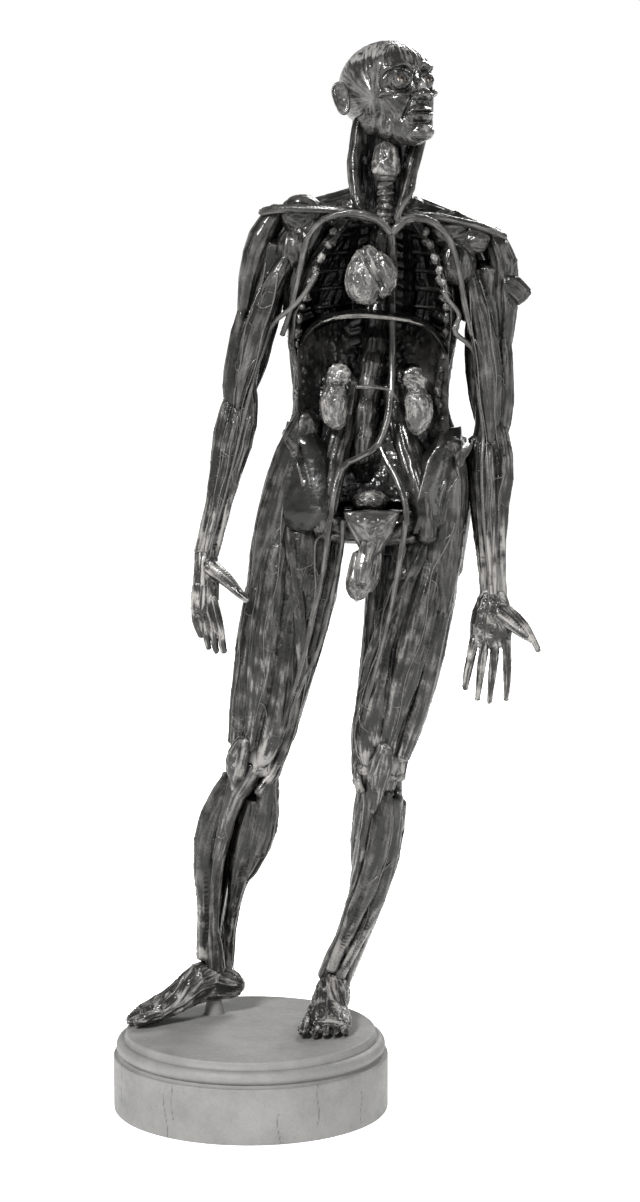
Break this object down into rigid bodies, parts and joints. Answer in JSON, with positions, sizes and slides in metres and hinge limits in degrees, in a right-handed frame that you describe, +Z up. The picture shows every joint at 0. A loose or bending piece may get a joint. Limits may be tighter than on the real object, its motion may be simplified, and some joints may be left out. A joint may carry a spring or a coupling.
{
  "type": "standing anatomical figure",
  "caption": "Full-length standing flayed anatomical figure with an open trunk and lift-off organs, on a round turned wooden base.",
  "frame": {"origin": "centre of the round base's rest face", "axes": "+Z up, the figure looks along -Y and its left hand is at +X"},
  "size_m": [0.2868, 0.1864, 0.7167],
  "materials": {
    "base_wood": "matte grey paint over turned wood, fine cracks",
    "rod_steel": "plain steel rod, nuts and washers",
    "peg_steel": "plain steel pegs",
    "glass_eyes": "glossy glazed eyeballs",
    "varnished_organ": "modelled plaster, painted and glossy varnished",
    "vessel": "pale painted, glossy varnish",
    "bone_and_tendon": "pale painted plaster, glossy varnish",
    "varnished_muscle": "modelled plaster, dark painted fibres, glossy varnish"
  },
  "bodies": {
    "figure": {"wooden_base": "base_wood", "right_leg_rod": "rod_steel", "left_leg_rod": "rod_steel", "trunk_rod": "rod_steel", "rod_nuts": "rod_steel", "rod_washers": "rod_steel", "heel_prop": "base_wood", "right_foot": "varnished_muscle", "left_foot": "varnished_muscle", "right_shin_bones": "bone_and_tendon", "left_shin_bones": "bone_and_tendon", "right_shin_muscles": "varnished_muscle", "left_shin_muscles": "varnished_muscle", "right_calf": "varnished_muscle", "left_calf": "varnished_muscle", "right_kneecap": "bone_and_tendon", "left_kneecap": "bone_and_tendon", "right_thigh_core": "varnished_muscle", "left_thigh_core": "varnished_muscle", "right_thigh_front": "varnished_muscle", "left_thigh_front": "varnished_muscle", "right_thigh_inner": "varnished_muscle", "left_thigh_inner": "varnished_muscle", "right_thigh_back": "varnished_muscle", "left_thigh_back": "varnished_muscle", "right_hip_muscles": "varnished_muscle", "left_hip_muscles": "varnished_muscle", "pelvis": "bone_and_tendon", "pubic_plate": "bone_and_tendon", "genital_piece": "varnished_organ", "spine": "bone_and_tendon", "loin_muscles": "varnished_muscle", "chest_wall": "varnished_muscle", "belly_wall": "varnished_muscle", "ribs": "bone_and_tendon", "diaphragm": "varnished_muscle", "back_muscles": "varnished_muscle", "organ_pegs": "peg_steel", "aorta": "vessel", "shoulder_vessels": "vessel", "thigh_vessels": "vessel", "windpipe": "bone_and_tendon", "neck_muscles": "varnished_muscle", "shoulder_bones": "bone_and_tendon", "shoulder_muscles": "varnished_muscle", "head": "varnished_muscle", "ears": "varnished_muscle", "eyes": "glass_eyes", "right_deltoid": "varnished_muscle", "left_deltoid": "varnished_muscle", "right_upper_arm": "varnished_muscle", "left_upper_arm": "varnished_muscle", "right_forearm": "varnished_muscle", "left_forearm": "varnished_muscle", "right_hand": "varnished_muscle", "left_hand": "varnished_muscle"},
    "heart": {"heart": "varnished_organ"},
    "right_kidney": {"right_kidney": "varnished_organ"},
    "left_kidney": {"left_kidney": "varnished_organ"},
    "bladder": {"bladder": "varnished_organ"}
  },
  "joints": [
    {"name": "heart_pull", "type": "slide", "parent": "figure", "child": "heart", "axis": [0, -1, 0], "range_m": [0, 0.08]},
    {"name": "right_kidney_pull", "type": "slide", "parent": "figure", "child": "right_kidney", "axis": [0, -1, 0], "range_m": [0, 0.07]},
    {"name": "left_kidney_pull", "type": "slide", "parent": "figure", "child": "left_kidney", "axis": [0, -1, 0], "range_m": [0, 0.07]},
    {"name": "bladder_pull", "type": "slide", "parent": "figure", "child": "bladder", "axis": [0, -0.7001, 0.7141], "range_m": [0, 0.06]}
  ]
}
